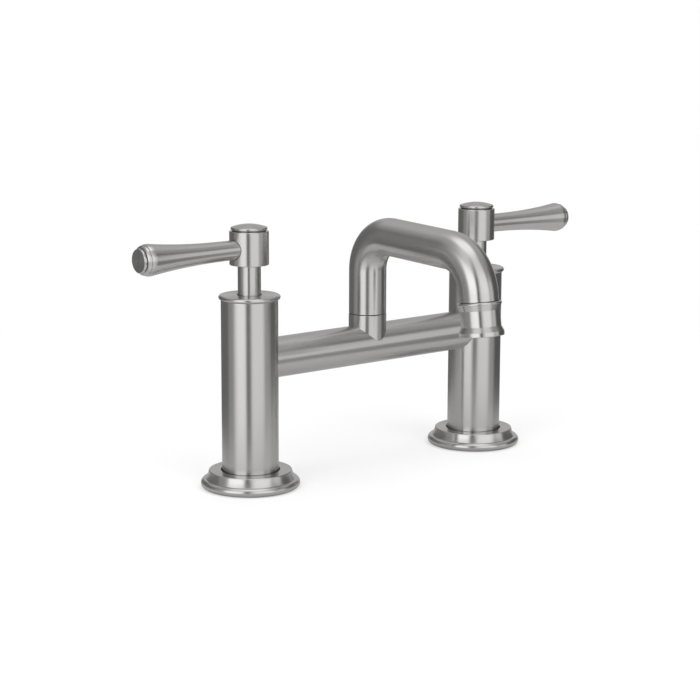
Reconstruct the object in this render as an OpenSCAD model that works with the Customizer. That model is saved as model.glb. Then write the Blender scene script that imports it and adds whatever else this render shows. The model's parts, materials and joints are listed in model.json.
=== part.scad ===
// Bridge bath filler with two lever valves and a swivelling spout.
// Millimetres, +Z up. The origin is half-way between the two column centres, at deck level.
// The spout points to -Y. Every valve piece is drawn at the left column and mirrored to the right.

/* [Columns and bridge] */
// Distance between the two column centres
pillar_spacing = 203.2; // [170:0.1:240]
// Outside diameter of a column
column_d = 38.1; // [37.5:0.1:44]
// Height of the bridge tube's centreline above the deck
bridge_z = 85.7; // [60:0.1:110]
// Height of a column's top above the bridge's centreline
column_rise = 41.8; // [41:0.1:60]
// Rounding of a column's top edge
column_edge = 0.7; // [0.3:0.1:1]
// Outside diameter of the bridge tube
bridge_d = 27.3; // [26.9:0.1:30]
// Bore of the bridge tube
bridge_bore_d = 22; // [20:0.1:23]
// Diameter of the spigots that enter the columns
spigot_d = 24.4; // [23.8:0.1:25]
// Distance from a column's axis to the floor of the spigot's socket
spigot_floor = 13; // [12.6:0.1:13.4]

/* [Inlet and valve chamber] */
// Core diameter of the inlet thread
inlet_d = 24.12; // [18:0.01:26]
// Depth of the inlet thread
inlet_depth = 20; // [12:0.5:30]
// Diameter of the waterway below the valve seat
waterway_d = 16.5; // [12:0.1:17]
// Drop of the valve seat below the bridge's centreline
seat_drop = 15.7; // [14:0.1:18]
// Diameter of the chamber round the valve's cage
chamber_d = 23.8; // [22.6:0.1:24]
// Height of the chamber's top above the bridge's centreline
chamber_rise = 12.3; // [12:0.1:14]
// Diameter of the valve's thread
thread_d = 26.4; // [25:0.1:28]
// Length of the threaded bore
thread_h = 14; // [8:0.1:14]
// Diameter of the bore round the valve's hexagon
head_bore_d = 31.2; // [30:0.1:33]

/* [Deck flanges] */
// Outside diameter of a flange
flange_d = 66.8; // [60:0.1:80]
// Radius of the half-round bead at the flange's foot
flange_bead_r = 3; // [2:0.1:4]
// Height of a flange
flange_h = 11.8; // [10:0.1:16]
// Diameter of the flange's top face
flange_top_d = 56; // [53:0.1:57]
// Depth of the notch between the bead and the wall
flange_notch = 0.4; // [0.2:0.1:0.8]
// Inward sweep of the flange's wall between the notch and the top
flange_sweep = 0.2; // [0.1:0.1:1.2]
// Rounding of the flange's top edge
flange_edge = 0.6; // [0.2:0.1:1]
// Thickness of the flange's shell
flange_wall = 2.4; // [1.5:0.1:3]
// Clearance on the radius round the column in its flange
flange_gap = 0.9; // [0.3:0.1:1.2]
// Thickness of the rubber gasket in a flange's hollow
gasket_h = 2; // [1:0.1:4]

/* [Column plates and stems] */
// Diameter of the plate on a column's top
plate_d = 41.2; // [40:0.1:46]
// Thickness of the plate, whose edge is half round
plate_h = 3; // [2:0.1:4]
// Depth of the ring that locates the plate in the column
plate_ring_h = 3; // [2:0.1:3.5]
// Wall of the ring that locates the plate
plate_ring_wall = 2.6; // [1.5:0.1:3]
// Outside diameter of the stem sleeve
sleeve_d = 15.4; // [14.4:0.1:18]
// Wall of the stem sleeve
sleeve_wall = 1; // [0.6:0.1:1]
// Clearance round the sleeve in its plate
sleeve_gap = 0.7; // [0.3:0.1:1]
// Height of the stem between the plate and the handle's hub
stem_h = 20; // [14:0.1:40]
// Depth that the sleeve enters the hub
sleeve_in = 4; // [2:0.1:5]

/* [Handles] */
// Diameter of a handle's hub
hub_d = 26.2; // [25:0.1:30]
// Height of a handle's hub
hub_h = 22.5; // [21.5:0.1:28]
// Rounding of the hub's edges
hub_edge = 0.6; // [0.3:0.1:1]
// Height of the lever's axis above the hub's underside
lever_rise = 10.85; // [10.4:0.05:11.5]
// Angle by which the lever slopes down towards its end
lever_droop = 0.6; // [0:0.1:5]
// Length from the column's axis to the end face of the lever
lever_len = 86.8; // [60:0.1:110]
// Diameter of the lever's neck
lever_neck_d = 13; // [11:0.1:13.5]
// Clearance on the radius round the lever's neck in the hub
neck_gap = 0.3; // [0.1:0.05:0.5]
// Largest diameter of the lever's flare
lever_flare_d = 20.8; // [19.6:0.1:24]
// Exponent of the flare's curve
lever_flare_power = 2.35; // [1.5:0.01:3]
// Length of the rounded shoulder between the flare and the bead
lever_shoulder_l = 3.1; // [2:0.1:5]
// Drop in radius over that shoulder
lever_shoulder_drop = 0.65; // [0.3:0.05:1]
// Length of the bead beyond the shoulder
lever_bead_l = 2.8; // [1.5:0.1:3.5]
// Width of the groove in front of the end cap
lever_groove_w = 0.6; // [0.3:0.1:1]
// Diameter at the bottom of that groove
lever_groove_d = 13.8; // [13:0.1:15]
// Diameter of the tenon that screws into the hub
lever_tenon_d = 8; // [6:0.1:8.5]
// Diameter of the lever's end cap
end_cap_d = 16; // [15.6:0.1:17]
// Thickness of the lever's end cap
end_cap_h = 1.4; // [1:0.1:3]
// Rounding of the end cap's edge
end_cap_edge = 0.9; // [0.3:0.1:0.9]
// Length of the end cap's stud
end_stud_l = 7; // [4:0.1:10]
// Diameter of the hub's cap
cap_d = 24.5; // [22:0.1:25]
// Height of the cap's widest part above the hub
cap_h = 2.6; // [2:0.1:4]
// Rise of the cap's domed top
cap_dome = 1.9; // [0.5:0.1:2.4]
// Width of the groove below the cap
cap_groove_w = 0.8; // [0.3:0.1:1.2]
// Depth of the groove below the cap
cap_groove_depth = 0.9; // [0.3:0.05:1.2]
// Diameter of the cap's stud ring
cap_ring_d = 18; // [16:0.1:20]
// Depth of the recess for the cap and the screw in the hub's top
cap_recess_h = 5; // [4:0.1:5.2]

/* [Spout] */
// Diameter of the socket on the bridge
socket_d = 26.2; // [25.8:0.1:26.8]
// Height of the socket's top above the bridge's centreline
socket_rise = 21.6; // [20.5:0.1:30]
// Depth of the socket's spigot below its top
socket_depth = 16.8; // [16:0.1:16.8]
// Diameter of the socket's spigot inside the bridge tube
socket_spigot_d = 23.2; // [22:0.1:23.6]
// Diameter of the bore that the spout's shank turns in
shank_bore_d = 19.2; // [17:0.1:20]
// Thickness of the glide ring between socket and spout
glide_ring_h = 0.6; // [0.4:0.1:1.2]
// Distance that the glide ring lies back from the spout's face
glide_ring_back = 0.5; // [0.2:0.1:1]
// Outside diameter of the spout tube
spout_d = 25.9; // [25:0.1:27]
// Wall of the spout tube
spout_wall = 1.5; // [1:0.1:2]
// Straight length of the spout above the glide ring
riser_l = 30.1; // [15:0.1:80]
// Bend radius at the top of the riser
bend_1_r = 25; // [20:0.1:40]
// Downward slope of the spout's run
run_slope = 2.1; // [0:0.1:10]
// Length of the spout's run
run_l = 58.6; // [20:0.1:120]
// Bend radius above the outlet
bend_2_r = 29.7; // [20:0.1:40]
// Forward tilt of the outlet
outlet_tilt = 7.6; // [0:0.1:15]
// Straight length between the last bend and the outlet collar
tail_l = 5; // [2:0.1:30]
// Swivel of the spout to each side
swivel = 35; // [10:1:40]
// Bore of the spout's shank
shank_bore = 13.6; // [10:0.1:13.6]
// Length of the shank inside the spout tube
shank_in = 10; // [6:0.1:14]
// Section diameter of the sealing rings
o_ring_d = 1.6; // [1.2:0.1:1.7]
// Height of the stop screw below the socket's top
stop_screw_drop = 3.9; // [3.2:0.1:4.4]
// Diameter of the stop screw
stop_screw_d = 4; // [3:0.1:4.4]
// Diameter of the stop screw's point
stop_point_d = 2.8; // [2:0.1:2.8]

/* [Outlet] */
// Length of the outlet collar
collar_l = 22.4; // [20:0.1:30]
// Diameter of the collar's upper bead
collar_bead_d = 29.4; // [28:0.1:31]
// Height of the collar's upper bead
collar_bead_h = 2; // [1.4:0.1:3]
// Diameter of the collar's plain body
collar_d = 26.5; // [26.2:0.1:27.4]
// Length of the cone that leads from the bead to the body
collar_cone_l = 3.4; // [2:0.1:5]
// Diameter of the collar's lip
lip_d = 29.8; // [28:0.1:32]
// Length of the conical flare above the lip
lip_flare_l = 3.5; // [2:0.1:6]
// Height of the lip's straight edge
lip_h = 2.4; // [0.8:0.1:3]
// Rounding below the lip
lip_edge = 0.6; // [0.2:0.1:0.8]
// Length of the collar's spigot inside the spout tube
collar_in = 6; // [4:0.1:10]
// Bore through the collar
collar_bore_d = 18; // [14:0.1:19]
// Core diameter of the thread for the aerator
aerator_d = 24; // [22:0.1:24.2]
// Length of the aerator's housing
aerator_h = 9; // [7:0.1:10]
// Distance that the aerator lies back from the collar's mouth
aerator_back = 3; // [1:0.1:5]
// Wall of the aerator's housing
aerator_wall = 1.5; // [1:0.1:2]
// Thickness of the washer above the aerator
outlet_washer_h = 2; // [1:0.1:3]
// Diameter of each hole in the flow straightener
straightener_hole_d = 3; // [2:0.1:3.2]
// Distance between the holes of the flow straightener
straightener_pitch = 3.7; // [3.6:0.1:4]
// Rings of holes round the middle one
straightener_rings = 2; // [1:1:2]

/* [Quarter-turn valve] */
// Outside diameter of the valve's cage
cage_d = 21.2; // [20.6:0.1:22]
// Wall of the valve's cage
cage_wall = 1.3; // [1:0.1:1.5]
// Height of the rubber seal on the valve seat
seal_h = 3.3; // [2.5:0.1:4]
// Wall of the rubber seal
seal_wall = 1.45; // [1.2:0.05:1.8]
// Thickness of a ceramic disc
disc_h = 3.2; // [2.6:0.1:3.6]
// Inner radius of the windows in the discs
disc_window_in = 2.9; // [2.6:0.1:3.5]
// Outer radius of the windows in the discs
disc_window_out = 7.5; // [6:0.1:7.6]
// Angle of each window in the discs
disc_window_angle = 80; // [50:1:84]
// Height of the windows in the cage
cage_window_h = 11; // [8:0.1:11]
// Angle of each window in the cage
cage_window_angle = 110; // [60:1:130]
// Width of the spindle's tongue
tongue_w = 4; // [3:0.1:4]
// Length of the spindle's tongue
tongue_l = 14; // [10:0.1:16]
// Depth of the tongue in the turning disc
tongue_h = 1.5; // [1:0.1:1.6]
// Diameter of the spindle in its bearing
spindle_d = 10; // [9:0.1:11]
// Diameter of the spindle between the windows
spindle_waist_d = 8; // [6:0.1:9]
// Diameter of the spindle's collar
spindle_collar_d = 17; // [14:0.1:17.6]
// Thickness of the spindle's collar
spindle_collar_h = 2; // [1.5:0.1:2.2]
// Diameter over the teeth of the spline
spline_d = 8; // [7:0.1:8.5]
// Height of the spline's teeth
spline_tooth = 0.4; // [0.2:0.1:0.5]
// Number of teeth on the spline
spline_teeth = 20; // [12:1:24]
// Length of the splined end
spline_l = 11; // [8:0.1:14]
// Thickness of the washer below the valve's flange
washer_h = 1; // [0.6:0.1:1.5]
// Thickness of the valve's flange
valve_flange_h = 2; // [1.5:0.1:2.5]
// Width across the flats of the valve's hexagon
hex_w = 24; // [22:0.1:26]
// Height of the valve's hexagon
hex_h = 6; // [4:0.1:6.5]
// Diameter of the valve's nose
nose_d = 17; // [15:0.1:19]
// Height of the valve's nose
nose_h = 4; // [3:0.1:4.5]
// Outside diameter of the spindle's clip
clip_d = 11.6; // [10:0.1:12.4]
// Thickness of the spindle's clip
clip_h = 0.7; // [0.5:0.1:1]
// Diameter of the extension's socket
extension_d = 12; // [11:0.1:12.4]
// Thread diameter of the handle's screw
screw_d = 5; // [4:0.1:5]
// Length of the handle's screw below its head
screw_l = 12; // [8:0.1:16]
// Diameter of the handle screw's head
screw_head_d = 8.5; // [7:0.1:10]
// Height of the handle screw's head
screw_head_h = 2.8; // [2:0.1:3]
// Width across the flats of the socket in a screw's head
screw_key_w = 4; // [2:0.1:4]

/* [Fits] */
// Clearance on the radius between parts that turn
running_gap = 0.05; // [0.02:0.01:0.1]
// Clearance on the radius between parts that are fixed together
fit_gap = 0.05; // [0.02:0.01:0.1]
// Clearance on the radius round the gaskets and the valves' flanges
loose_gap = 0.3; // [0.2:0.05:0.5]

/* [Hidden] */
$fn = 96;
cut = 1;
nickel = [0.72, 0.7, 0.67];
brass = [0.78, 0.64, 0.35];
steel = [0.6, 0.61, 0.62];
rubber = [0.13, 0.13, 0.14];
ceramic = [0.93, 0.92, 0.88];
plastic = [0.82, 0.83, 0.84];

column_h = bridge_z + column_rise;
seat_z = bridge_z - seat_drop;
chamber_top_z = bridge_z + chamber_rise;
shoulder_z = chamber_top_z + thread_h;

plate_top_z = column_h + plate_h;
hub_z = plate_top_z + stem_h;
hub_top_z = hub_z + hub_h;
sleeve_bottom_z = column_h - fit_gap - clip_h;

cage_bore_d = cage_d - 2 * cage_wall;
disc_d = cage_bore_d - 2 * running_gap;
fixed_disc_z = seat_z + seal_h;
turning_disc_z = fixed_disc_z + disc_h;
discs_top_z = turning_disc_z + disc_h;
window_lift = 0.5;
window_z = discs_top_z + window_lift;
collar_lift = 0.8;
collar_z = window_z + cage_window_h + collar_lift;
collar_top_z = collar_z + spindle_collar_h;
valve_flange_z = shoulder_z + washer_h;
hex_z = valve_flange_z + valve_flange_h;
nose_z = hex_z + hex_h;
nose_top_z = nose_z + nose_h;
clip_z = nose_top_z + running_gap;
clip_room = 0.4;
extension_z = clip_z + clip_h + clip_room;
spline_top_z = extension_z + spline_l;
screw_web = 3;
extension_top_z = hub_top_z - cap_recess_h - screw_web;
spline_root = spline_d / 2 - spline_tooth;
rod_relief = 0.1;
rod_d = 2 * spline_root - 2 * rod_relief;
valve_flange_d = head_bore_d - 2 * loose_gap;

lever_z = hub_z + lever_rise;
neck_depth = 2.3;
tenon_depth = 4.3;
neck_floor = hub_d / 2 - neck_depth;
tenon_floor = neck_floor - tenon_depth;
lever_body_l = lever_len - end_cap_h;
bead_start = lever_body_l - lever_groove_w - lever_bead_l;
shoulder_start = bead_start - lever_shoulder_l;
neck_l = 1;
flare_start = hub_d / 2 + neck_l;
flare_steps = 18;
arc_step = 15;
bead_lead = 15;
shoulder_r = lever_flare_d / 2 - lever_shoulder_drop;
stud_d = 8;

socket_z = bridge_z + socket_rise;
socket_bottom_z = socket_z - socket_depth;
spout_z = socket_z + glide_ring_h;
shank_d = shank_bore_d - 2 * running_gap;
shank_end_gap = 1;
shank_z = socket_bottom_z + shank_end_gap;
shank_collar_d = spout_d - 2 * spout_wall - 2 * fit_gap;
groove_floor_r = shank_d / 2 - o_ring_d;
o_ring_lift = 3;
o_ring_pitch = 3.4;
o_ring_room = 0.3;
o_ring_zs = [shank_z + o_ring_lift, shank_z + o_ring_lift + o_ring_pitch];
stop_z = socket_z - stop_screw_drop;
stop_groove_depth = 1.5;
stop_floor_r = shank_d / 2 - stop_groove_depth;
stop_slack = 0.5;
stop_reach = swivel + asin(stop_point_d / 2 / stop_floor_r) + stop_slack;
bend_1_angle = 90 + run_slope;
bend_2_angle = 180 - bend_1_angle - outlet_tilt;
bend_draw = 0.02;
bend_lap = 0.4;

cone_end = collar_bead_h + collar_cone_l;
flare_end = collar_l - lip_edge - lip_h;
body_end = flare_end - lip_flare_l;
aerator_z = collar_l - aerator_back - aerator_h;
washer_z = aerator_z - outlet_washer_h;
straightener_d = aerator_d - 2 * fit_gap - 2 * aerator_wall;
straightener_h = 5;
stop_point_gap = 0.3;
stop_groove_h = stop_point_d + 2 * stop_point_gap;
clip_groove_depth = 0.5;
spindle_groove_d = 2 * spline_root - 2 * clip_groove_depth;
clip_angle = 290;
flange_cavity_d = flange_top_d - 2 * flange_wall - 2 * flange_sweep;
sweep_steps = 10;
cage_lift = 0.8;
thread_runout = 0.5;
cap_ring_gap = 0.3;
dome_lap = 0.2;
screw_room = 1.5;
screw_end_gap = 1;
key_floor = 1;
spigot_gap = 0.2;
socket_edge = 0.4;
stop_tip_gap = 0.3;
stop_seat_gap = 0.2;
stop_screw_inset = 0.4;
stop_key_depth = 1.8;
spline_room = 2;
aerator_ledge_h = 2;
aerator_ledge_w = 1.5;

// Places a piece drawn round the column's axis at the left column
module on_left() {
    translate([-pillar_spacing / 2, 0, 0]) children();
}

// Places a mirrored piece at the right column
module on_right() {
    translate([pillar_spacing / 2, 0, 0]) mirror([1, 0, 0]) children();
}

// Turns +Z into the lever's own axis, from the column's axis outwards
module along_lever() {
    translate([0, 0, lever_z]) rotate([0, -90 - lever_droop, 0]) children();
}

// A cylinder that starts at height z
module post(d, z, h) {
    translate([0, 0, z]) cylinder(d = d, h = h);
}

// A flat ring that starts at height z
module ring(d, bore, z, h) {
    difference() {
        post(d, z, h);
        post(bore, z - cut, h + 2 * cut);
    }
}

// Half section of a post with rounded edges at its top and bottom
module rounded_section(r, h, edge) {
    square([r - edge, h]);
    translate([0, edge]) square([r, h - 2 * edge]);
    translate([r - edge, edge]) circle(edge);
    translate([r - edge, h - edge]) circle(edge);
}

// A post with rounded edges that starts at height z
module rounded_post(d, z, h, edge) {
    translate([0, 0, z]) rotate_extrude() rounded_section(d / 2, h, edge);
}

// A disc with a half-round edge that starts at height z
module half_round_disc(d, z, h) {
    translate([0, 0, z]) rotate_extrude() {
        square([(d - h) / 2, h]);
        translate([(d - h) / 2, h / 2]) circle(h / 2);
    }
}

// Toothed rod or, with a clearance, the cut for it
module spline(z, h, gap) {
    points = [
        for (i = [0:2 * spline_teeth - 1])
            let (r = gap + (i % 2 == 0 ? spline_d / 2 : spline_root), a = i * 180 / spline_teeth)
                [r * cos(a), r * sin(a)]
    ];
    translate([0, 0, z]) linear_extrude(h) polygon(points);
}

// Sector of a ring, centred on the given direction
module sector(r_in, r_out, z, h, angle, direction) {
    translate([0, 0, z])
        rotate([0, 0, direction - angle / 2])
            rotate_extrude(angle = angle)
                translate([r_in, 0]) square([r_out - r_in, h]);
}

// Cylinder along X that starts on the column's axis side and runs towards the bridge
module port(d, x, l) {
    translate([x, 0, bridge_z]) rotate([0, 90, 0]) cylinder(d = d, h = l);
}

// Torus piece that turns from +Z towards -Y
module bend(r, angle, d) {
    translate([0, -r, 0])
        rotate([90, 0, 90])
            rotate_extrude(angle = angle)
                translate([r, 0]) circle(d = d);
}

// Moves a piece to the far end of such a bend
module past_bend(r, angle) {
    translate([0, -r, 0]) rotate([angle, 0, 0]) translate([0, r, 0]) children();
}

// Start of the spout's run, behind the first bend
module at_run() {
    translate([0, 0, spout_z + riser_l]) past_bend(bend_1_r, bend_1_angle) children();
}

// End of the spout tube, with +Z along the falling water
module at_outlet() {
    at_run()
        translate([0, 0, run_l])
            past_bend(bend_2_r, bend_2_angle)
                translate([0, 0, tail_l]) children();
}

// Solid along the whole spout, lengthened at both ends; the bends are a hair thinner than the straights
module spout_path(d, extra) {
    bend_d = d - 2 * bend_draw;
    translate([0, 0, spout_z - extra]) cylinder(d = d, h = riser_l + bend_lap + extra);
    translate([0, 0, spout_z + riser_l]) bend(bend_1_r, bend_1_angle, bend_d);
    at_run() {
        translate([0, 0, -bend_lap]) cylinder(d = d, h = run_l + 2 * bend_lap);
        translate([0, 0, run_l]) bend(bend_2_r, bend_2_angle, bend_d);
    }
    at_outlet() translate([0, 0, -tail_l - bend_lap]) cylinder(d = d, h = tail_l + bend_lap + extra);
}

// Half section of the column: square foot and rounded top edge
module column_section() {
    r = column_d / 2;
    square([r, column_h - column_edge]);
    square([r - column_edge, column_h]);
    translate([r - column_edge, column_h - column_edge]) circle(column_edge);
}

// Column: inlet from below, valve seat, chamber and the side port to the bridge
module column() {
    color(nickel) difference() {
        rotate_extrude() column_section();
        post(inlet_d, -cut, inlet_depth + cut);
        post(waterway_d, inlet_depth - cut, seat_z - inlet_depth + 2 * cut);
        post(chamber_d, seat_z, chamber_top_z - seat_z);
        post(thread_d, chamber_top_z, thread_h);
        post(head_bore_d, shoulder_z, column_h - shoulder_z + cut);
        port(bridge_bore_d, 0, column_d);
        port(spigot_d + 2 * fit_gap, spigot_floor, column_d);
    }
}

// Half section of the flange: foot bead, notch, swept wall and rounded top edge
module flange_section() {
    bead_x = flange_d / 2 - flange_bead_r;
    wall_x = bead_x - flange_notch;
    top_r = flange_top_d / 2;
    wall_z = 2 * flange_bead_r - flange_notch;
    sweep = [
        for (i = [0:sweep_steps])
            let (t = i / sweep_steps, bow = flange_sweep * sin(180 * t))
                [wall_x + (top_r - wall_x) * t - bow, wall_z + (flange_h - flange_edge - wall_z) * t]
    ];
    translate([bead_x, flange_bead_r]) circle(flange_bead_r);
    polygon(concat([[0, 0], [bead_x, 0], [wall_x, flange_bead_r]], sweep, [[0, flange_h - flange_edge]]));
    translate([0, wall_z]) square([top_r - flange_edge, flange_h - wall_z]);
    translate([top_r - flange_edge, flange_h - flange_edge]) circle(flange_edge);
}

// Loose cover ring round the column's foot, hollow below
module flange() {
    color(nickel) difference() {
        rotate_extrude() flange_section();
        post(column_d + 2 * flange_gap, -cut, flange_h + 2 * cut);
        post(flange_cavity_d, -cut, flange_h - flange_wall + cut);
    }
}

// Rubber ring between the column, the flange and the deck
module deck_gasket() {
    color(rubber) ring(flange_cavity_d - 2 * loose_gap, column_d + 2 * loose_gap, 0, gasket_h);
}

// Plate that closes the column's top, with a locating ring below
module column_plate() {
    ring_d = head_bore_d - 2 * fit_gap;
    color(nickel) difference() {
        union() {
            half_round_disc(plate_d, column_h, plate_h);
            post(ring_d, column_h - plate_ring_h, plate_ring_h + plate_h / 2);
        }
        post(ring_d - 2 * plate_ring_wall, column_h - plate_ring_h - cut, plate_ring_h + cut);
        post(sleeve_d + 2 * sleeve_gap, column_h - cut, plate_h + 2 * cut);
    }
}

// Valve body: cage with side windows, thread, flange, hexagon and nose
module valve_body() {
    cage_z = seat_z + cage_lift;
    color(brass) difference() {
        union() {
            post(cage_d, cage_z, chamber_top_z + cut - cage_z);
            post(thread_d - 2 * fit_gap, chamber_top_z + thread_runout, valve_flange_z - chamber_top_z);
            post(valve_flange_d, valve_flange_z, valve_flange_h);
            translate([0, 0, hex_z]) cylinder(d = hex_w / cos(30), h = hex_h, $fn = 6);
            post(nose_d, nose_z, nose_h);
        }
        post(cage_bore_d, cage_z - cut, collar_top_z - cage_z + cut);
        post(spindle_d + 2 * running_gap, collar_top_z - cut, nose_top_z - collar_top_z + 2 * cut);
        for (direction = [0, 180])
            sector(
                cage_bore_d / 2 - cut, cage_d / 2 + cut,
                window_z, cage_window_h, cage_window_angle, direction
            );
    }
}

// Fibre washer below the valve's flange
module valve_washer() {
    color(rubber) ring(valve_flange_d, thread_d, shoulder_z, washer_h);
}

// Rubber seal between the seat and the fixed disc
module seat_seal() {
    outer = cage_bore_d - 2 * fit_gap;
    color(rubber) ring(outer, outer - 2 * seal_wall, seat_z, seal_h);
}

// Ceramic disc with two sector windows
module ceramic_disc(z, direction) {
    difference() {
        post(disc_d, z, disc_h);
        for (side = [0, 180])
            sector(
                disc_window_in, disc_window_out,
                z - cut, disc_h + 2 * cut, disc_window_angle, direction + side
            );
    }
}

// Disc that stands still, with its windows to the front and back
module fixed_disc() {
    color(ceramic) ceramic_disc(fixed_disc_z, 90);
}

// Disc that turns with the spindle, closed while its windows lie across those of the fixed disc
module turning_disc() {
    color(ceramic) difference() {
        ceramic_disc(turning_disc_z, 0);
        translate([0, 0, discs_top_z]) tongue(fit_gap);
    }
}

// Tongue at the spindle's foot, or the slot for it, below the given level
module tongue(gap) {
    w = tongue_w + 2 * gap;
    l = tongue_l + 2 * gap;
    translate([-w / 2, -l / 2, -tongue_h]) cube([w, l, tongue_h + gap]);
}

// Spindle: tongue, waist between the windows, collar, bearing and splined end
module spindle() {
    color(brass) difference() {
        union() {
            translate([0, 0, discs_top_z]) tongue(0);
            post(spindle_waist_d, discs_top_z, collar_z - discs_top_z + cut);
            post(spindle_collar_d, collar_z, spindle_collar_h);
            post(spindle_d, collar_z + cut, nose_top_z - collar_z - cut);
            spline(nose_top_z - cut, spline_top_z - nose_top_z + cut, 0);
        }
        ring(spindle_d, spindle_groove_d, clip_z, clip_h + running_gap);
    }
}

// Open clip in the spindle's groove, on the valve's nose
module spindle_clip() {
    color(steel)
        sector(spindle_groove_d / 2 + fit_gap, clip_d / 2, clip_z, clip_h, clip_angle, 0);
}

// Rod that carries the turn from the valve's spindle up into the hub
module spindle_extension() {
    socket_h = spline_l + spline_room;
    color(brass) difference() {
        union() {
            post(extension_d, extension_z, socket_h);
            post(rod_d, extension_z + cut, extension_top_z - spline_l - extension_z);
            spline(extension_top_z - spline_l, spline_l, 0);
        }
        spline(extension_z - cut, spline_l + cut + fit_gap, fit_gap);
        post(screw_d, extension_top_z - screw_l, screw_l + cut);
    }
}

// Tube that covers the spindle between the plate and the hub, and turns with the hub
module stem_sleeve() {
    sleeve_h = hub_z + sleeve_in - sleeve_bottom_z;
    color(nickel) ring(sleeve_d, sleeve_d - 2 * sleeve_wall, sleeve_bottom_z, sleeve_h);
}

// Hub of the handle, with the lever's socket, the splined bore and the cap's recess
module handle_hub() {
    recess_z = hub_top_z - cap_recess_h;
    color(nickel) difference() {
        rounded_post(hub_d, hub_z, hub_h, hub_edge);
        post(sleeve_d + 2 * fit_gap, hub_z - cut, sleeve_in + cut);
        spline(hub_z, extension_top_z - hub_z + fit_gap, fit_gap);
        post(screw_d + 2 * fit_gap, extension_top_z - cut, hub_h);
        post(cap_ring_d + 2 * fit_gap, recess_z, cap_recess_h + cut);
        along_lever() {
            post(lever_neck_d + 2 * neck_gap, neck_floor, hub_d);
            post(lever_tenon_d + 2 * fit_gap, tenon_floor, hub_d);
        }
    }
}

// Half section of the lever along its axis: neck, flare, shoulder, bead and groove
function lever_flare() = [
    for (i = [0:flare_steps])
        let (t = i / flare_steps)
            [
                lever_neck_d / 2 + (lever_flare_d - lever_neck_d) / 2 * pow(t, lever_flare_power),
                flare_start + (shoulder_start - flare_start) * t
            ]
];
function lever_shoulder() = [
    for (a = [arc_step:arc_step:90])
        [
            shoulder_r + lever_shoulder_drop * cos(a),
            shoulder_start + lever_shoulder_l * sin(a)
        ]
];
function lever_bead() = [
    for (a = [-bead_lead:arc_step:90])
        [
            lever_groove_d / 2 + (shoulder_r - lever_groove_d / 2) * cos(a),
            bead_start + lever_bead_l * (sin(a) + sin(bead_lead)) / (1 + sin(bead_lead))
        ]
];

// Turned lever that screws into the hub
module lever() {
    color(nickel) along_lever() difference() {
        union() {
            rotate_extrude() polygon(concat(
                [[0, neck_floor], [lever_neck_d / 2, neck_floor]],
                lever_flare(),
                lever_shoulder(),
                lever_bead(),
                [[lever_groove_d / 2, lever_body_l], [0, lever_body_l]]
            ));
            post(lever_tenon_d, tenon_floor, tenon_depth + cut);
        }
        post(stud_d, lever_body_l - end_stud_l, end_stud_l + cut);
    }
}

// Disc that closes the lever's end, with a stud
module lever_end_cap() {
    color(nickel) along_lever() {
        difference() {
            rounded_post(end_cap_d, lever_body_l - end_cap_h, 2 * end_cap_h, end_cap_edge);
            post(end_cap_d + cut, lever_body_l - 2 * end_cap_h, 2 * end_cap_h);
        }
        post(stud_d - 2 * fit_gap, lever_body_l - end_stud_l + cut, end_stud_l);
    }
}

// Half section of the hub's cap: groove, rounded rim and shallow dome
module cap_section() {
    r = cap_d / 2;
    rim_h = cap_h - cap_groove_w;
    edge = rim_h / 2;
    dome_r = (pow(r - edge, 2) + pow(cap_dome, 2)) / (2 * cap_dome);
    square([r - cap_groove_depth, cap_h - edge]);
    translate([0, cap_groove_w]) square([r - edge, edge]);
    translate([r - edge, cap_groove_w + edge]) circle(edge);
    intersection() {
        translate([0, cap_h + cap_dome - dome_r]) circle(dome_r);
        translate([0, cap_groove_w + edge]) square([r - edge + dome_lap, edge + cap_dome]);
    }
}

// Cap that hides the handle's screw
module hub_cap() {
    color(nickel) difference() {
        union() {
            translate([0, 0, hub_top_z]) rotate_extrude() cap_section();
            post(cap_ring_d, hub_top_z - cap_recess_h + cap_ring_gap, cap_recess_h);
        }
        post(screw_head_d + 2 * screw_room, hub_top_z - cap_recess_h - cut, cap_recess_h + cut);
    }
}

// Socket-headed screw that holds the hub on the extension
module handle_screw() {
    head_z = hub_top_z - cap_recess_h;
    shaft_z = extension_top_z - screw_l + screw_end_gap;
    color(steel) difference() {
        union() {
            post(screw_head_d, head_z, screw_head_h);
            post(screw_d - 2 * fit_gap, shaft_z, head_z + cut - shaft_z);
        }
        translate([0, 0, head_z + key_floor]) cylinder(d = screw_key_w / cos(30), h = screw_head_h, $fn = 6);
    }
}

// Tube along X between the columns, with coped ends, spigots and a hole for the socket
module bridge_tube() {
    half = pillar_spacing / 2;
    spigot_end = half - spigot_floor - spigot_gap;
    color(nickel) difference() {
        union() {
            difference() {
                port(bridge_d, -half, pillar_spacing);
                for (side = [-1, 1])
                    translate([side * half, 0, -cut]) cylinder(d = column_d, h = column_h + 2 * cut);
            }
            port(spigot_d, -spigot_end, 2 * spigot_end);
        }
        port(bridge_bore_d, -half, pillar_spacing);
        post(socket_spigot_d + 2 * fit_gap, socket_bottom_z, column_h);
    }
}

// Boss saddled on the bridge, in which the spout's shank turns
module spout_socket() {
    color(nickel) difference() {
        union() {
            difference() {
                rounded_post(socket_d, bridge_z, socket_rise, socket_edge);
                port(bridge_d, -socket_d, 2 * socket_d);
            }
            post(socket_spigot_d, socket_bottom_z, socket_depth - cut);
        }
        post(shank_bore_d, socket_bottom_z - cut, socket_depth + 2 * cut);
        translate([0, 0, stop_z]) rotate([-90, 0, 0]) cylinder(d = stop_screw_d + 2 * fit_gap, h = socket_d);
    }
}

// Low-friction ring that shows as the dark seam below the spout
module glide_ring() {
    color(rubber) ring(spout_d - 2 * glide_ring_back, shank_bore_d, socket_z, glide_ring_h);
}

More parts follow.
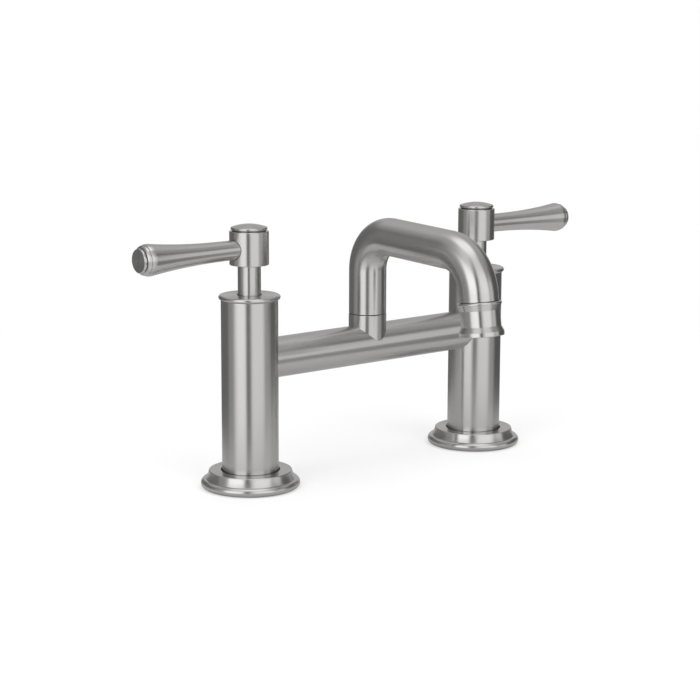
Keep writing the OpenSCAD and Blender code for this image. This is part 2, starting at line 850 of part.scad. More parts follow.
// Grub screw at the back of the socket, whose point runs in the shank's stop groove
module spout_stop_screw() {
    tip_y = stop_floor_r + stop_tip_gap;
    shoulder_y = shank_bore_d / 2 + stop_seat_gap;
    end_y = socket_d / 2 - stop_screw_inset;
    color(steel) translate([0, 0, stop_z]) rotate([-90, 0, 0]) difference() {
        union() {
            post(stop_point_d, tip_y, end_y - tip_y);
            post(stop_screw_d, shoulder_y, end_y - shoulder_y);
        }
        translate([0, 0, end_y - stop_key_depth])
            cylinder(d = screw_key_w / 2 / cos(30), h = stop_key_depth + cut, $fn = 6);
    }
}

// Bent tube of the spout, hollow throughout
module spout_tube() {
    color(nickel) difference() {
        spout_path(spout_d, 0);
        spout_path(spout_d - 2 * spout_wall, cut);
    }
}

// Shank brazed into the spout's foot, with ring grooves and the stop groove
module spout_shank() {
    ring_groove_h = o_ring_d + 2 * o_ring_room;
    color(brass) difference() {
        union() {
            post(shank_d, shank_z, spout_z - shank_z + cut);
            post(shank_collar_d, spout_z, shank_in);
        }
        post(shank_bore, shank_z - cut, spout_z + shank_in - shank_z + 2 * cut);
        for (z = o_ring_zs)
            ring(shank_d + cut, 2 * groove_floor_r, z - ring_groove_h / 2, ring_groove_h);
        sector(
            stop_floor_r, shank_d / 2 + cut,
            stop_z - stop_groove_h / 2, stop_groove_h, 2 * stop_reach, 90
        );
    }
}

// Two sealing rings in the shank's grooves
module spout_o_rings() {
    ring_r = o_ring_d / 2;
    ring_x = shank_bore_d / 2 - running_gap / 2 - ring_r;
    color(rubber) for (z = o_ring_zs)
        translate([0, 0, z]) rotate_extrude() translate([ring_x, 0]) circle(ring_r);
}

// Half section of the outlet collar: upper bead, cone, body, flare and lip
module collar_section() {
    body_r = collar_d / 2;
    bead_r = collar_bead_h / 2;
    bead_x = collar_bead_d / 2 - bead_r;
    bead_edge = bead_r * sin(45);
    cone = [[bead_x + bead_edge, bead_r + bead_edge], [body_r, cone_end]];
    flare = [[body_r, body_end], [lip_d / 2, flare_end]];
    translate([bead_x, bead_r]) circle(bead_r);
    polygon(concat(
        [[0, 0], [bead_x, 0]],
        cone,
        flare,
        [[lip_d / 2, flare_end + lip_h], [0, flare_end + lip_h]]
    ));
    translate([0, flare_end]) square([lip_d / 2 - lip_edge, lip_h + lip_edge]);
    translate([lip_d / 2 - lip_edge, flare_end + lip_h]) circle(lip_edge);
}

// Turned collar at the end of the spout
module outlet_collar() {
    color(nickel) at_outlet() difference() {
        union() {
            rotate_extrude() collar_section();
            post(spout_d - 2 * spout_wall - 2 * fit_gap, -collar_in, collar_in + cut);
        }
        post(collar_bore_d, -collar_in - cut, collar_l + collar_in);
        post(aerator_d, washer_z, collar_l);
    }
}

// Rubber washer above the aerator
module outlet_washer() {
    color(rubber) at_outlet() ring(aerator_d - 2 * fit_gap, collar_bore_d, washer_z, outlet_washer_h);
}

// Threaded ring that holds the flow straightener
module aerator_housing() {
    color(nickel) at_outlet() difference() {
        post(aerator_d - 2 * fit_gap, aerator_z, aerator_h);
        post(straightener_d, aerator_z + aerator_ledge_h, aerator_h);
        post(straightener_d - 2 * aerator_ledge_w, aerator_z - cut, aerator_h);
    }
}

// Plastic disc with a honeycomb of round holes
module flow_straightener() {
    rings = straightener_rings;
    color(plastic) at_outlet() difference() {
        post(straightener_d - 2 * fit_gap, aerator_z + aerator_ledge_h, straightener_h);
        for (i = [-rings:rings], j = [-rings:rings])
            if (abs(i + j) <= rings)
                translate([straightener_pitch * (i + j / 2), straightener_pitch * j * sin(60), 0])
                    post(straightener_hole_d, aerator_z, aerator_h);
    }
}

module left_column() { on_left() column(); }
module left_flange() { on_left() flange(); }
module left_deck_gasket() { on_left() deck_gasket(); }
module left_column_plate() { on_left() column_plate(); }
module left_valve_body() { on_left() valve_body(); }
module left_valve_washer() { on_left() valve_washer(); }
module left_seat_seal() { on_left() seat_seal(); }
module left_fixed_disc() { on_left() fixed_disc(); }
module left_turning_disc() { on_left() turning_disc(); }
module left_spindle() { on_left() spindle(); }
module left_spindle_clip() { on_left() spindle_clip(); }
module left_spindle_extension() { on_left() spindle_extension(); }
module left_stem_sleeve() { on_left() stem_sleeve(); }
module left_handle_hub() { on_left() handle_hub(); }
module left_lever() { on_left() lever(); }
module left_lever_end_cap() { on_left() lever_end_cap(); }
module left_hub_cap() { on_left() hub_cap(); }
module left_handle_screw() { on_left() handle_screw(); }
module right_column() { on_right() column(); }
module right_flange() { on_right() flange(); }
module right_deck_gasket() { on_right() deck_gasket(); }
module right_column_plate() { on_right() column_plate(); }
module right_valve_body() { on_right() valve_body(); }
module right_valve_washer() { on_right() valve_washer(); }
module right_seat_seal() { on_right() seat_seal(); }
module right_fixed_disc() { on_right() fixed_disc(); }
module right_turning_disc() { on_right() turning_disc(); }
module right_spindle() { on_right() spindle(); }
module right_spindle_clip() { on_right() spindle_clip(); }
module right_spindle_extension() { on_right() spindle_extension(); }
module right_stem_sleeve() { on_right() stem_sleeve(); }
module right_handle_hub() { on_right() handle_hub(); }
module right_lever() { on_right() lever(); }
module right_lever_end_cap() { on_right() lever_end_cap(); }
module right_hub_cap() { on_right() hub_cap(); }
module right_handle_screw() { on_right() handle_screw(); }

bridge_tube();
spout_socket();
glide_ring();
spout_stop_screw();
left_column();
left_flange();
left_deck_gasket();
left_column_plate();
left_valve_body();
left_valve_washer();
left_seat_seal();
left_fixed_disc();
left_turning_disc();
left_spindle();
left_spindle_clip();
left_spindle_extension();
left_stem_sleeve();
left_handle_hub();
left_lever();
left_lever_end_cap();
left_hub_cap();
left_handle_screw();
right_column();
right_flange();
right_deck_gasket();
right_column_plate();
right_valve_body();
right_valve_washer();
right_seat_seal();
right_fixed_disc();
right_turning_disc();
right_spindle();
right_spindle_clip();
right_spindle_extension();
right_stem_sleeve();
right_handle_hub();
right_lever();
right_lever_end_cap();
right_hub_cap();
right_handle_screw();
spout_tube();
spout_shank();
spout_o_rings();
outlet_collar();
outlet_washer();
aerator_housing();
flow_straightener();
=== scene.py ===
"""Looks of the bridge bath filler: brushed nickel, its inner pieces, a pale floor and a soft studio."""

import json
import math

import bpy
from mathutils import Matrix, Vector


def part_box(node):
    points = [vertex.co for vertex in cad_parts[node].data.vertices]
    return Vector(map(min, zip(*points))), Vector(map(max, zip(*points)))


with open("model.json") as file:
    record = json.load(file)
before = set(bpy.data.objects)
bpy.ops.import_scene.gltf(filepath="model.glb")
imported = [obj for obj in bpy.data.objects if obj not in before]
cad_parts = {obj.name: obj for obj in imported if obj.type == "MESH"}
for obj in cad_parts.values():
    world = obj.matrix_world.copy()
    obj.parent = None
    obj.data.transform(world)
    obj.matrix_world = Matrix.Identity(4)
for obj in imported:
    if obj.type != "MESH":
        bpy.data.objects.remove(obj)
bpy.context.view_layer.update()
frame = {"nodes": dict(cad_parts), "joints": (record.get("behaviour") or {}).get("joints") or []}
nodes = frame["nodes"]
hinges = {joint["name"]: Vector(joint["pos_m"]) for joint in frame["joints"]}

MM = 0.001
ORIGIN = Vector((0, 0, 0))
UP = Vector((0, 0, 1))
ACROSS = Vector((1, 0, 0))

# How far each lever's axis falls below the horizontal
LEVER_DROOP = math.radians(0.6)

# Spout path in the Y-Z plane: its lengths, radii and angles, its bend centres, and where it ends
RISER_TOP = 138.0 * MM
BEND_1_R = 25.0 * MM
BEND_2_R = 29.7 * MM
RUN_L = 58.6 * MM
RUN_SLOPE = math.radians(2.1)
OUTLET_TILT = math.radians(7.6)
BEND_1_ANGLE = math.pi / 2 + RUN_SLOPE
BEND_2_ANGLE = math.pi - BEND_1_ANGLE - OUTLET_TILT
RUN_DIR = Vector((0, -math.sin(BEND_1_ANGLE), math.cos(BEND_1_ANGLE)))
RUN_OUTWARDS = Vector((0, math.cos(BEND_1_ANGLE), math.sin(BEND_1_ANGLE)))
BEND_1_C = Vector((0, -BEND_1_R, RISER_TOP))
BEND_2_C = BEND_1_C + (BEND_1_R - BEND_2_R) * RUN_OUTWARDS + RUN_L * RUN_DIR
OUTLET_DIR = Vector((0, -math.sin(OUTLET_TILT), -math.cos(OUTLET_TILT)))
OUTLET_OUTWARDS = Vector((0, -math.cos(OUTLET_TILT), math.sin(OUTLET_TILT)))
OUTLET = BEND_2_C + BEND_2_R * OUTLET_OUTWARDS

# Colours of the finishes
NICKEL = (0.62, 0.612, 0.601)
BRASS = (0.78, 0.62, 0.34)
STEEL = (0.56, 0.57, 0.58)
RUBBER = (0.03, 0.03, 0.032)
CERAMIC = (0.86, 0.85, 0.82)
DARK_PLASTIC = (0.05, 0.05, 0.055)
PALE_PLASTIC = (0.7, 0.72, 0.74)

# Roughness of the metals. Each one's variation stays wholly below or wholly above 0.274: the denoiser
# treats metal on the two sides of that value differently, and a finish that crosses it comes out speckled.
NICKEL_ROUGHNESS = 0.25
OUTLET_ROUGHNESS = 0.24
INNER_METAL_ROUGHNESS = 0.3

# Brushed finish: fine lines round each piece, faint clouds, and soft marks from handling. Lines and clouds
# multiply the colour by a tone, and lines and marks change the roughness by these amounts.
LINES_PER_METRE = 3500
STREAKS_PER_METRE = 30
CLOUDS_PER_METRE = 38.0
MARKS_PER_METRE = 170.0
LINE_TONE = (0.988, 1.01)
CLOUD_TONE = (0.988, 1.012)
LINE_ROUGHNESS_SPREAD = 0.012
MARK_ROUGHNESS = (-0.006, 0.008)
LINE_BUMP = 0.035
LINE_DEPTH = 0.02 * MM
ANISOTROPY = 0.8
QUARTER_TURN = 0.25

# Two oblique directions across a piece, in which the lines of its grain vary slowly
SLOW_DIR = (0.7, 0.5, 0.5)
SIDE_DIR = (-0.4, 0.8, -0.3)

# Moulded finish: an even grain over broad faint clouds
MOULDED_CLOUDS_PER_METRE = 60.0
MOULDED_ROUGHNESS_SPREAD = 0.06
MOULDED_BUMP = 0.4

# Nearly all of a noise texture's values lie between these two
NOISE_LOW = 0.25
NOISE_HIGH = 0.75

# Painted shade darkens the colour in gaps and at joints, standing in for their shade: its tone, the width of
# its edge, and how far it reaches from its point, which keeps it off other stretches of the same piece
PAINTED_SHADE_TONE = 0.3
PAINTED_SHADE_FADE = 0.15 * MM
PAINTED_SHADE_REACH = 25 * MM

# Height of the groove between a handle's hub and its cap
CAP_GROOVE = 0.8 * MM

# Pieces with painted shade at their foot, the piece below or round each foot, and how far above that piece's
# top the painted shade reaches
PAINTED_SHADE_AT_FEET = (
    ("column", "flange", 0),
    ("stem_sleeve", "column_plate", 0),
    ("hub_cap", "handle_hub", CAP_GROOVE),
)

# The collar's spigot inside the spout tube, and the length of painted shade on the tube's end before the
# collar
COLLAR_SPIGOT = 6.0 * MM
PAINTED_SEAM_SHADE = 0.65 * MM


class Graph:
    """A material's or world's node tree, with short calls for the nodes used here."""

    def __init__(self, tree):
        self.tree = tree
        tree.nodes.clear()

    def add(self, kind, **settings):
        """A new node of this kind with these settings."""
        node = self.tree.nodes.new(kind)
        for key, value in settings.items():
            setattr(node, key, value)
        return node

    def put(self, socket, value):
        """Links another node's output to the socket, or gives the socket a plain value."""
        if isinstance(value, bpy.types.NodeSocket):
            self.tree.links.new(value, socket)
        else:
            socket.default_value = value

    def put_all(self, node, values):
        """Puts the values into the node's first sockets, one after another."""
        for socket, value in zip(node.inputs, values):
            self.put(socket, value)

    def math(self, operation, *values):
        """The result of an operation on numbers."""
        node = self.add("ShaderNodeMath", operation=operation)
        self.put_all(node, values)
        return node.outputs[0]

    def vector(self, operation, *values, output="Vector"):
        """The result of an operation on vectors. The output is Value where the result is a number."""
        node = self.add("ShaderNodeVectorMath", operation=operation)
        self.put_all(node, values)
        return node.outputs[output]

    def dot(self, a, b):
        """The dot product of two vectors."""
        return self.vector("DOT_PRODUCT", a, b, output="Value")

    def length(self, vector):
        """The length of a vector."""
        return self.vector("LENGTH", vector, output="Value")

    def scaled(self, vector, factor):
        """The vector times a number."""
        node = self.add("ShaderNodeVectorMath", operation="SCALE")
        self.put(node.inputs[0], vector)
        self.put(node.inputs["Scale"], factor)
        return node.outputs[0]

    def split(self, vector):
        """The three numbers of a vector."""
        node = self.add("ShaderNodeSeparateXYZ")
        self.put(node.inputs[0], vector)
        return node.outputs

    def combine(self, x, y, z):
        """The vector of three numbers."""
        node = self.add("ShaderNodeCombineXYZ")
        self.put_all(node, (x, y, z))
        return node.outputs[0]

    def noise(self, vector, scale, detail, roughness=0.5):
        """Smooth noise from 0 to 1."""
        node = self.add("ShaderNodeTexNoise")
        self.put(node.inputs["Vector"], vector)
        node.inputs["Scale"].default_value = scale
        node.inputs["Detail"].default_value = detail
        node.inputs["Roughness"].default_value = roughness
        return node.outputs[0]

    def ranged(self, noise, low, high):
        """The noise spread out over low to high, and held within them."""
        node = self.add("ShaderNodeMapRange")
        self.put(node.inputs["Value"], noise)
        node.inputs["From Min"].default_value = NOISE_LOW
        node.inputs["From Max"].default_value = NOISE_HIGH
        node.inputs["To Min"].default_value = low
        node.inputs["To Max"].default_value = high
        return node.outputs[0]

    def fade(self, value, start, end):
        """0 at start and 1 at end, with a smooth step between them."""
        node = self.add("ShaderNodeMapRange", interpolation_type="SMOOTHSTEP")
        self.put(node.inputs["Value"], value)
        node.inputs["From Min"].default_value = start
        node.inputs["From Max"].default_value = end
        return node.outputs[0]

    def blend(self, a, b, share_of_b):
        """A number between a and b."""
        rest = self.math("SUBTRACT", 1.0, share_of_b)
        return self.math("ADD", self.math("MULTIPLY", a, rest), self.math("MULTIPLY", b, share_of_b))

    def mix(self, shader_a, shader_b, share_of_b):
        """A shader between two shaders."""
        node = self.add("ShaderNodeMixShader")
        self.put_all(node, (share_of_b, shader_a.outputs[0], shader_b.outputs[0]))
        return node


def turned_grain(g, coords, axis, origin):
    """Grain round an axis: a coordinate that runs fast from line to line, two slow ones, and a tangent.

    The fast one runs along the axis and outwards, and the tangent goes round the axis.
    """
    from_axis = g.vector("SUBTRACT", coords, origin)
    along = g.dot(from_axis, axis)
    round_part = g.vector("SUBTRACT", from_axis, g.scaled(axis, along))
    fast = g.math("ADD", along, g.length(round_part))
    slow = g.dot(round_part, SLOW_DIR)
    side = g.dot(round_part, SIDE_DIR)
    main_axis = "XYZ"[max(range(3), key=lambda index: abs(axis[index]))]
    tangent = g.add("ShaderNodeTangent", direction_type="RADIAL", axis=main_axis).outputs[0]
    return fast, slow, side, tangent


def spout_grain(g, coords):
    """The same for the bent spout, whose fast coordinate and tangent follow the tube's own path."""
    x, y, z = g.split(coords)

    def turned(centre, start, angle):
        """How far the path has turned in a bend that starts at one angle and turns through another."""
        dy = g.math("SUBTRACT", y, centre.y)
        dz = g.math("SUBTRACT", z, centre.z)
        raw = g.math("SUBTRACT", g.math("ARCTAN2", dz, dy), start)
        limited = g.math("MINIMUM", g.math("MAXIMUM", raw, 0.0), angle)
        past = g.math("MULTIPLY", g.math("LESS_THAN", dy, 0.0), g.math("LESS_THAN", dz, 0.0))
        return g.blend(limited, angle, past)

    turned_1 = turned(BEND_1_C, 0.0, BEND_1_ANGLE)
    turned_2 = turned(BEND_2_C, BEND_1_ANGLE, BEND_2_ANGLE)
    total = g.math("ADD", turned_1, turned_2)
    forward_y = g.math("MULTIPLY", g.math("SINE", total), -1.0)
    forward_z = g.math("COSINE", total)
    straight = g.math("ADD", g.math("MULTIPLY", y, forward_y), g.math("MULTIPLY", z, forward_z))
    bent = g.math("ADD", g.math("MULTIPLY", turned_1, BEND_1_R), g.math("MULTIPLY", turned_2, BEND_2_R))
    fast = g.math("ADD", straight, bent)
    forward = g.combine(0.0, forward_y, forward_z)
    return fast, x, g.math("ADD", y, z), forward


def new_surface(name):
    """A new material, the graph of its nodes, and the principled shader at the end of them."""
    material = bpy.data.materials.new(name)
    material.use_nodes = True
    g = Graph(material.node_tree)
    shader = g.add("ShaderNodeBsdfPrincipled")
    output = g.add("ShaderNodeOutputMaterial")
    g.put(output.inputs["Surface"], shader.outputs[0])
    return material, g, shader


def raise_grain(g, shader, height, strength, depth):
    """Gives the shader a bump from a height of 0 to 1."""
    bump = g.add("ShaderNodeBump")
    bump.inputs["Strength"].default_value = strength
    bump.inputs["Distance"].default_value = depth
    g.put(bump.inputs["Height"], height)
    g.put(shader.inputs["Normal"], bump.outputs[0])


def painted_shade_tone(g, coords, point, inwards):
    """The tone of painted shade past a point and near it, and 1 elsewhere."""
    from_point = g.vector("SUBTRACT", coords, point)
    past = g.fade(g.dot(from_point, inwards), 0.0, PAINTED_SHADE_FADE)
    near = g.fade(g.length(from_point), PAINTED_SHADE_REACH, PAINTED_SHADE_REACH - PAINTED_SHADE_FADE)
    return g.blend(1.0, PAINTED_SHADE_TONE, g.math("MULTIPLY", near, past))


def brushed(name, colour, roughness, axis=UP, origin=ORIGIN, spout=False, painted_shade=None):
    """Brushed metal whose grain runs round an axis, with fine lines, cloudy tone and soft handling marks.

    A point and a direction may be given for painted shade: past that point, and near it, the colour is
    darker, standing in for the shade in a gap or at a joint.
    """
    material, g, shader = new_surface(name)
    coords = g.add("ShaderNodeTexCoord").outputs["Object"]
    if spout:
        fast, slow, side, tangent = spout_grain(g, coords)
    else:
        fast, slow, side, tangent = turned_grain(g, coords, axis, origin)
        # Highlights spread across the lines, which is along the axis and not round it
        shader.inputs["Anisotropic Rotation"].default_value = QUARTER_TURN
    stretched = g.combine(
        g.math("MULTIPLY", fast, LINES_PER_METRE),
        g.math("MULTIPLY", slow, STREAKS_PER_METRE),
        g.math("MULTIPLY", side, STREAKS_PER_METRE),
    )
    lines = g.noise(stretched, scale=1.0, detail=3.0, roughness=0.6)
    clouds = g.noise(coords, scale=CLOUDS_PER_METRE, detail=3.0)
    marks = g.noise(coords, scale=MARKS_PER_METRE, detail=5.0, roughness=0.65)
    tone = g.math("MULTIPLY", g.ranged(lines, *LINE_TONE), g.ranged(clouds, *CLOUD_TONE))
    # Painted shade: the colour darkens past the given point, standing in for shade in a gap or at a joint
    if painted_shade:
        tone = g.math("MULTIPLY", tone, painted_shade_tone(g, coords, *painted_shade))
    g.put(shader.inputs["Base Color"], g.scaled(colour, tone))
    rough = g.ranged(lines, roughness - LINE_ROUGHNESS_SPREAD, roughness + LINE_ROUGHNESS_SPREAD)
    g.put(shader.inputs["Roughness"], g.math("ADD", rough, g.ranged(marks, *MARK_ROUGHNESS)))
    shader.inputs["Metallic"].default_value = 1.0
    shader.inputs["Anisotropic"].default_value = ANISOTROPY
    raise_grain(g, shader, lines, LINE_BUMP, LINE_DEPTH)
    g.put(shader.inputs["Tangent"], tangent)
    return material


def moulded(name, colour, roughness, spread=0.06, grain=900.0, depth=0.03 * MM):
    """Rubber, plastic or ceramic with a fine even grain and slight variation in tone."""
    material, g, shader = new_surface(name)
    coords = g.add("ShaderNodeTexCoord").outputs["Object"]
    fine = g.noise(coords, scale=grain, detail=4.0, roughness=0.6)
    clouds = g.noise(coords, scale=MOULDED_CLOUDS_PER_METRE, detail=3.0)
    fine_tone = g.ranged(fine, 1 - spread / 2, 1 + spread / 2)
    cloud_tone = g.ranged(clouds, 1 - spread, 1 + spread)
    g.put(shader.inputs["Base Color"], g.scaled(colour, g.math("MULTIPLY", fine_tone, cloud_tone)))
    rough = g.ranged(fine, roughness - MOULDED_ROUGHNESS_SPREAD, roughness + MOULDED_ROUGHNESS_SPREAD)
    g.put(shader.inputs["Roughness"], rough)
    raise_grain(g, shader, fine, MOULDED_BUMP, depth)
    return material


def give(node_name, material):
    """Sets the material of a CAD node on every slot it has."""
    mesh = nodes[node_name].data
    if not mesh.materials:
        mesh.materials.append(material)
    for index in range(len(mesh.materials)):
        mesh.materials[index] = material


def dress_side(side, outwards, rubber, ceramic):
    """Gives one column, its valve and its handle their finishes, with grain round each piece's own axis."""
    hub = hinges[side + "handle_turn"]
    foot = Vector((hub.x, 0, 0))
    lever_axis = Vector((outwards * math.cos(LEVER_DROOP), 0, -math.sin(LEVER_DROOP)))
    upright = brushed(side + "nickel_upright", NICKEL, NICKEL_ROUGHNESS, UP, foot)
    lever = brushed(side + "nickel_lever", NICKEL, NICKEL_ROUGHNESS, lever_axis, hub)
    brass = brushed(side + "brass", BRASS, INNER_METAL_ROUGHNESS, UP, foot)
    steel = brushed(side + "stainless", STEEL, INNER_METAL_ROUGHNESS, UP, foot)
    finishes = (
        (upright, ("flange", "column_plate", "handle_hub")),
        (lever, ("lever", "lever_end_cap")),
        (brass, ("valve_body", "spindle", "spindle_extension")),
        (steel, ("handle_screw", "spindle_clip")),
        (rubber, ("deck_gasket", "valve_washer", "seat_seal")),
        (ceramic, ("fixed_disc", "turning_disc")),
    )
    for material, names in finishes:
        for name in names:
            give(side + name, material)
    # Painted shade at the foot of each of these pieces, standing in for the shade where it meets the piece
    # below
    for name, below, height in PAINTED_SHADE_AT_FEET:
        painted_shade = (Vector((hub.x, 0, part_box(side + below)[1].z + height)), -UP)
        give(side + name, brushed(side + "nickel_" + name, NICKEL, NICKEL_ROUGHNESS, UP, foot, painted_shade=painted_shade))


def dress_spout(rubber, dark_plastic, pale_plastic):
    """Gives the spout and its outlet their finishes, with painted shade on the tube's end where it meets the
    collar.
    """
    collar_mesh = nodes["outlet_collar"].data
    collar_start = min((vertex.co - OUTLET).dot(OUTLET_DIR) for vertex in collar_mesh.vertices)
    # Where the painted shade on the tube's end begins, standing in for the shadow where the tube enters the
    # collar
    painted_shade_start = OUTLET + (collar_start + COLLAR_SPIGOT - PAINTED_SEAM_SHADE) * OUTLET_DIR
    give("spout_socket", brushed("nickel_socket", NICKEL, NICKEL_ROUGHNESS, UP))
    tube = brushed("nickel_spout", NICKEL, NICKEL_ROUGHNESS, spout=True, painted_shade=(painted_shade_start, OUTLET_DIR))
    give("spout_tube", tube)
    collar = brushed("nickel_outlet", NICKEL, OUTLET_ROUGHNESS, OUTLET_DIR, OUTLET)
    give("outlet_collar", collar)
    give("aerator_housing", collar)
    give("spout_shank", brushed("brass_shank", BRASS, INNER_METAL_ROUGHNESS, UP))
    give("spout_stop_screw", brushed("stainless_screw", STEEL, INNER_METAL_ROUGHNESS, UP))
    give("spout_o_rings", rubber)
    give("outlet_washer", rubber)
    give("glide_ring", dark_plastic)
    give("flow_straightener", pale_plastic)


def dress():
    """Gives every CAD node its finish."""
    rubber = moulded("rubber", RUBBER, roughness=0.65)
    ceramic = moulded("ceramic", CERAMIC, roughness=0.22, spread=0.02, grain=1400.0, depth=0.006 * MM)
    dark_plastic = moulded("dark_plastic", DARK_PLASTIC, roughness=0.45)
    pale_plastic = moulded("pale_plastic", PALE_PLASTIC, roughness=0.4, spread=0.03)
    dress_side("left_", -1, rubber, ceramic)
    dress_side("right_", 1, rubber, ceramic)
    low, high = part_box("bridge_tube")
    bridge_axis = Vector((0, 0, (low.z + high.z) / 2))
    give("bridge_tube", brushed("nickel_bridge", NICKEL, NICKEL_ROUGHNESS, ACROSS, bridge_axis))
    dress_spout(rubber, dark_plastic, pale_plastic)


# The camera fitted to the photograph, which is square: the direction it looks from, in degrees round from
# -Y and above the deck, its roll in degrees, how far in front of it the origin lies in metres, and in the
# photograph's pixels its focal length and the origin's place
PHOTO_SIZE = 700
CAMERA_AZIMUTH = -39.22
CAMERA_PITCH = 10.96
CAMERA_ROLL = 0.21
ORIGIN_DEPTH = 1.39545
FOCAL_PIXELS = 1977.63
ORIGIN_U = 366.72
ORIGIN_V = 462.64
SENSOR_WIDTH = 36.0

# The studio as the metal sees it. Each panel has its left and right side in degrees round from the
# camera's direction, its foot and top in degrees above the horizon, the width of the soft edge at its
# sides and at its foot and top, its brightness, and how far it leans to the left for each degree of
# height. A later panel lies over the earlier ones.
PANELS = (
    ("table beyond the floor", -180, 180, -90, -28, 0, 8, 0.6, 0),
    ("ceiling", -180, 180, 33, 90, 0, 24, 0.42, 0),
    ("sweep's upper part", 118, 235, 36, 64, 20, 14, 0.56, 0),
    ("overhead light", -180, 180, 67, 90, 0, 18, 1.5, 0),
    ("white sweep behind", 152, 200, -8, 60, 16, 12, 0.52, 0),
    ("left flag", -150, -92, -24, 28, 12, 10, 0.17, 0),
    ("right flag", 96, 147, -24, 25, 12, 10, 0.12, 0),
    ("left wing", -92, -56, -28, 42, 14, 10, 0.34, 0),
    ("right wing", 60, 96, -26, 30, 8, 14, 0.24, 0),
    ("right strip light", 62, 91, -5, 24, 8, 7, 0.8, 0),
    ("left softbox's side", -66, -40, -50, 60, 14, 14, 0.62, 0.08),
    ("left softbox's upper end", -64, -14, 50, 74, 14, 12, 1.2, 0),
    ("left softbox", -50, -12.5, -55, 70, 11, 14, 0.88, 0.08),
    ("left softbox's middle", -58, -13.5, -6, 30, 11, 10, 1.6, 0.08),
    ("right softbox's side", 44, 68, -50, 60, 14, 14, 0.55, 0.08),
    ("right softbox", 8, 60, -55, 72, 11, 14, 0.85, 0.08),
    ("right softbox's middle", 13, 60, -3, 38, 12, 10, 1.17, 0.08),
    ("right softbox's inner edge", 1, 15, 0, 19, 7, 7, 0.95, 0),
)
# Brightness where no panel is, and of the even light on matt pieces
ROOM = 0.14
DIFFUSE_LEVEL = 0.55

# Lamps, which give matt pieces their form and the floor its shadow. Each has its place in degrees round from
# the camera's direction, in degrees above the horizon and in metres from the target, its size in metres
# and its power in watts.
LAMPS = (
    ("key", -35, 40, 2.2, (1.2, 1.8), 22.0),
    ("fill", 40, 35, 2.2, (1.4, 1.8), 20.0),
    ("top", 160, 65, 2.0, (1.6, 1.6), 14.0),
)
LAMP_TARGET = Vector((0, -0.03, 0.09))

# The floor: half its width in metres, its place just below the deck plane, and how pale it is by itself
# and as the metal sees it
FLOOR_REACH = 6.0
FLOOR_DROP = 0.2 * MM
FLOOR_SHADE = 0.9
FLOOR_SHADE_IN_METAL = 0.5
# Distances on the floor are measured on an ellipse that is longer along X, as the object is. The camera
# sees this share of plain white near the object and nothing but white past the second distance, and the
# metal's view of the floor fades between two distances of its own.
FLOOR_ELLIPSE = (0.75, 1.0, 0.0)
FLOOR_WHITE_SHARE = 0.5
FLOOR_TO_WHITE = (0.22, 0.6)
FLOOR_TO_STUDIO = (0.11, 0.24)


def direction(azimuth, elevation):
    """The unit vector at an azimuth from -Y towards +X and an elevation, both in degrees."""
    a, e = math.radians(azimuth), math.radians(elevation)
    return Vector((math.sin(a) * math.cos(e), -math.cos(a) * math.cos(e), math.sin(e)))


def studio_world():
    """White for the camera; the metal sees the panels; matt pieces get an even light."""
    world = bpy.data.worlds.new("studio")
    bpy.context.scene.world = world
    world.use_nodes = True
    g = Graph(world.node_tree)
    x, y, z = g.split(g.add("ShaderNodeTexCoord").outputs["Generated"])
    azimuth = g.math("ARCTAN2", x, g.math("MULTIPLY", y, -1.0))
    height = g.math("ARCSINE", z)

    def inside(distance, reach, edge):
        """1 where an angle's distance is within reach, falling to 0 over the edge."""
        return g.fade(distance, math.radians(reach + edge / 2), math.radians(reach - edge / 2))

    level = ROOM
    for _, left, right, foot, top, side_edge, height_edge, brightness, lean in PANELS:
        off_middle = g.math("ABSOLUTE", g.math("SUBTRACT", height, math.radians((foot + top) / 2)))
        cover = inside(off_middle, (top - foot) / 2, height_edge)
        if right - left < 360:
            middle = math.radians(CAMERA_AZIMUTH + (left + right) / 2)
            upright = g.math("ADD", azimuth, g.math("MULTIPLY", height, lean))
            turned = g.math("ARCCOSINE", g.math("COSINE", g.math("SUBTRACT", upright, middle)))
            cover = g.math("MULTIPLY", cover, inside(turned, (right - left) / 2, side_edge))
        level = g.blend(level, brightness, cover)
    path = g.add("ShaderNodeLightPath").outputs
    level = g.blend(DIFFUSE_LEVEL, level, path["Is Glossy Ray"])
    level = g.blend(level, 1.0, g.math("MAXIMUM", path["Is Camera Ray"], path["Is Transmission Ray"]))
    background = g.add("ShaderNodeBackground")
    g.put(background.inputs["Strength"], level)
    background.inputs["Color"].default_value = (1, 1, 1, 1)
    g.put(g.add("ShaderNodeOutputWorld").inputs["Surface"], background.outputs[0])


def softbox(name, azimuth, elevation, distance, size, power):
    """An area lamp aimed at the object, seen neither by the camera nor in the metal."""
    lamp = bpy.data.lights.new(name, "AREA")
    lamp.shape = "RECTANGLE"
    lamp.size, lamp.size_y = size
    lamp.energy = power
    holder = bpy.data.objects.new(name, lamp)
    bpy.context.scene.collection.objects.link(holder)
    place = distance * direction(CAMERA_AZIMUTH + azimuth, elevation)
    holder.location = place + LAMP_TARGET
    holder.rotation_euler = (-place).to_track_quat("-Z", "Y").to_euler()
    holder.visible_camera = False
    holder.visible_glossy = False


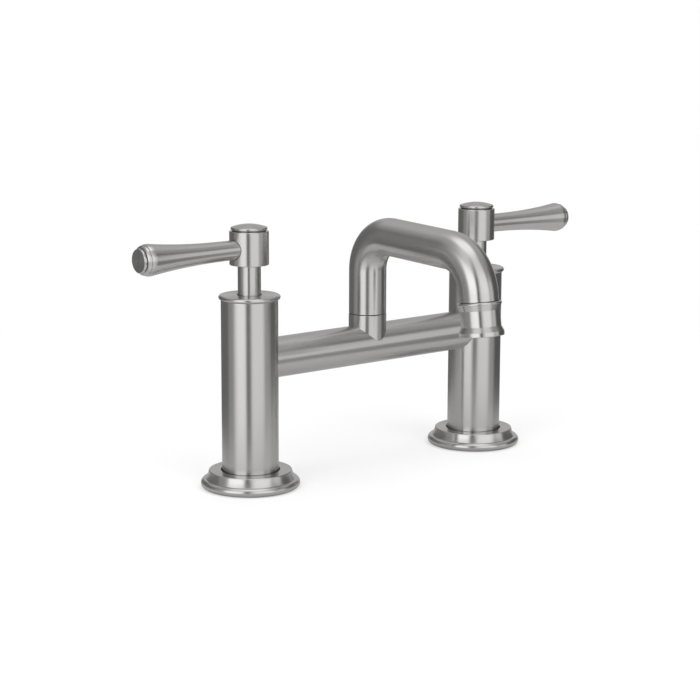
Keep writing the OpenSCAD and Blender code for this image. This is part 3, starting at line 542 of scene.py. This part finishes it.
def pale_floor():
    """A pale floor with the object's soft shadow, which fades into the white background away from it.

    The metal sees the same floor near the object, and the studio beyond it.
    """
    mesh = bpy.data.meshes.new("floor")
    corners = [(x * FLOOR_REACH, y * FLOOR_REACH, 0) for x, y in ((-1, -1), (1, -1), (1, 1), (-1, 1))]
    mesh.from_pydata(corners, [], [(0, 1, 2, 3)])
    floor = bpy.data.objects.new("floor", mesh)
    bpy.context.scene.collection.objects.link(floor)
    floor.location.z = -FLOOR_DROP
    material = bpy.data.materials.new("floor")
    material.use_nodes = True
    g = Graph(material.node_tree)
    place = g.add("ShaderNodeNewGeometry").outputs["Position"]
    radius = g.length(g.vector("MULTIPLY", place, FLOOR_ELLIPSE))
    path = g.add("ShaderNodeLightPath").outputs
    paper = g.add("ShaderNodeBsdfDiffuse")
    shade = g.blend(FLOOR_SHADE, FLOOR_SHADE_IN_METAL, path["Is Glossy Ray"])
    g.put(paper.inputs["Color"], g.combine(shade, shade, shade))
    white = g.add("ShaderNodeEmission")
    seen = g.math("MAXIMUM", path["Is Camera Ray"], path["Is Transmission Ray"])
    share = g.math("MULTIPLY", seen, g.blend(FLOOR_WHITE_SHARE, 1.0, g.fade(radius, *FLOOR_TO_WHITE)))
    lit = g.mix(paper, white, share)
    clear = g.add("ShaderNodeBsdfTransparent")
    beyond = g.math("MULTIPLY", path["Is Glossy Ray"], g.fade(radius, *FLOOR_TO_STUDIO))
    surface = g.mix(lit, clear, beyond)
    g.put(g.add("ShaderNodeOutputMaterial").inputs["Surface"], surface.outputs[0])
    mesh.materials.append(material)


def photo_camera():
    """Places the camera so that the origin shows where it does in the photograph."""
    azimuth, roll = math.radians(CAMERA_AZIMUTH), math.radians(CAMERA_ROLL)
    back = direction(CAMERA_AZIMUTH, CAMERA_PITCH)
    right = Vector((math.cos(azimuth), math.sin(azimuth), 0))
    up = back.cross(right)
    right, up = right * math.cos(roll) + up * math.sin(roll), up * math.cos(roll) - right * math.sin(roll)
    x = (ORIGIN_U - PHOTO_SIZE / 2) / FOCAL_PIXELS
    y = -(ORIGIN_V - PHOTO_SIZE / 2) / FOCAL_PIXELS
    place = -ORIGIN_DEPTH * (x * right + y * up - back)
    data = bpy.data.cameras.new("photo_camera")
    data.sensor_width = SENSOR_WIDTH
    data.lens = SENSOR_WIDTH * FOCAL_PIXELS / PHOTO_SIZE
    camera = bpy.data.objects.new("photo_camera", data)
    bpy.context.scene.collection.objects.link(camera)
    rotation = Matrix((right, up, back)).transposed()
    camera.matrix_world = Matrix.Translation(place) @ rotation.to_4x4()
    bpy.context.scene.camera = camera


dress()
studio_world()
for lamp in LAMPS:
    softbox(*lamp)
pale_floor()
photo_camera()
bpy.context.scene.view_settings.view_transform = "Standard"
